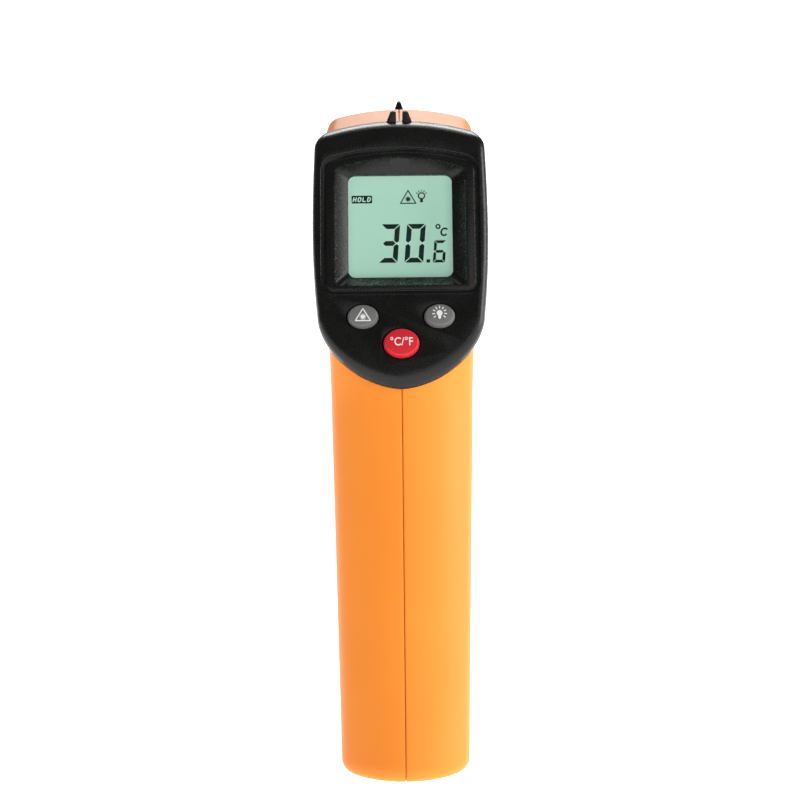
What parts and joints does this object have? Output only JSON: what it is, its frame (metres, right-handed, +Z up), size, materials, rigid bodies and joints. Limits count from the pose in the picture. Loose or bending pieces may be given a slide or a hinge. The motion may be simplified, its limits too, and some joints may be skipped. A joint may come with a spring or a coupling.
{
  "type": "infrared thermometer",
  "caption": "Pistol-grip infrared thermometer with a rear display, press keys, a finger trigger, a nose lens and a battery door in the grip.",
  "frame": {"origin": "centre of the bounding box in X and Y, on the plane of the grip's flat base", "axes": "+Z up, along the height; +Y towards the nose that is aimed at the target; +X to the right of the user who reads the display"},
  "size_m": [0.0414, 0.101, 0.153],
  "materials": {
    "orange_plastic": "fine-grained moulded surface",
    "black_plastic": "satin, fine-grained",
    "clear_window": "polished",
    "grey_rubber": "matt silicone",
    "red_rubber": "matt silicone",
    "white_plastic": "matt",
    "display_green": "satin polariser",
    "circuit_board": "solder mask",
    "steel": "zinc plated",
    "brass": "turned",
    "cell_wrap": "printed film wrap over a metal can",
    "red_wire": "extruded insulation",
    "black_wire": "extruded insulation",
    "ribbon_film": "polyimide film",
    "chip_black": "moulded epoxy",
    "pink_rubber": "layered silicone",
    "infrared_lens": "milky moulded polythene"
  },
  "bodies": {
    "housing": {"left_shell": "orange_plastic", "right_shell": "orange_plastic", "rear_bezel": "black_plastic", "display_window": "clear_window", "lcd_panel": "display_green", "backlight_panel": "white_plastic", "lcd_frame": "white_plastic", "zebra_strip": "pink_rubber", "key_mat": "grey_rubber", "main_board": "circuit_board", "controller_chip": "chip_black", "board_screw_1": "steel", "board_screw_2": "steel", "board_screw_3": "steel", "board_screw_4": "steel", "case_screw_barrel_front": "steel", "case_screw_barrel_rear": "steel", "case_screw_nose_under": "steel", "case_screw_grip_top": "steel", "case_screw_grip_base": "steel", "nose_cap": "black_plastic", "ir_lens": "infrared_lens", "lens_ring": "black_plastic", "optics_tube": "black_plastic", "thermopile_sensor": "steel", "sensor_board": "circuit_board", "laser_module": "brass", "laser_window": "clear_window", "laser_holder": "black_plastic", "trigger_pin": "steel", "trigger_spring": "steel", "switch_board": "circuit_board", "trigger_switch": "chip_black", "battery_tray": "black_plastic", "battery_left": "cell_wrap", "battery_right": "cell_wrap", "contact_positive": "steel", "contact_negative": "steel", "contact_bridge": "steel", "battery_lead_red": "red_wire", "battery_lead_black": "black_wire", "laser_lead_red": "red_wire", "laser_lead_black": "black_wire", "sensor_ribbon": "ribbon_film", "switch_ribbon": "ribbon_film"},
    "trigger": {"trigger": "black_plastic"},
    "laser_key": {"laser_key": "grey_rubber"},
    "backlight_key": {"backlight_key": "grey_rubber"},
    "unit_key": {"unit_key": "red_rubber"},
    "battery_door": {"battery_door": "orange_plastic"}
  },
  "joints": [
    {"name": "trigger_pull", "type": "hinge", "parent": "housing", "child": "trigger", "pos_m": [0, 0.0035, 0.102], "axis": [-1, 0, 0], "range_deg": [0, 8], "stiffness_Nm_per_rad": 0.3, "deforming": ["trigger_spring"]},
    {"name": "laser_key_press", "type": "slide", "parent": "housing", "child": "laser_key", "axis": [0, 0.9135, -0.4067], "range_m": [0, 0.0008], "stiffness_N_per_m": 400},
    {"name": "backlight_key_press", "type": "slide", "parent": "housing", "child": "backlight_key", "axis": [0, 0.9135, -0.4067], "range_m": [0, 0.0008], "stiffness_N_per_m": 400},
    {"name": "unit_key_press", "type": "slide", "parent": "housing", "child": "unit_key", "axis": [0, 0.9135, -0.4067], "range_m": [0, 0.0008], "stiffness_N_per_m": 400},
    {"name": "battery_door_open", "type": "hinge", "parent": "housing", "child": "battery_door", "pos_m": [0, -0.02433, 0.00241], "axis": [-1, 0, 0], "range_deg": [0, 75]}
  ]
}
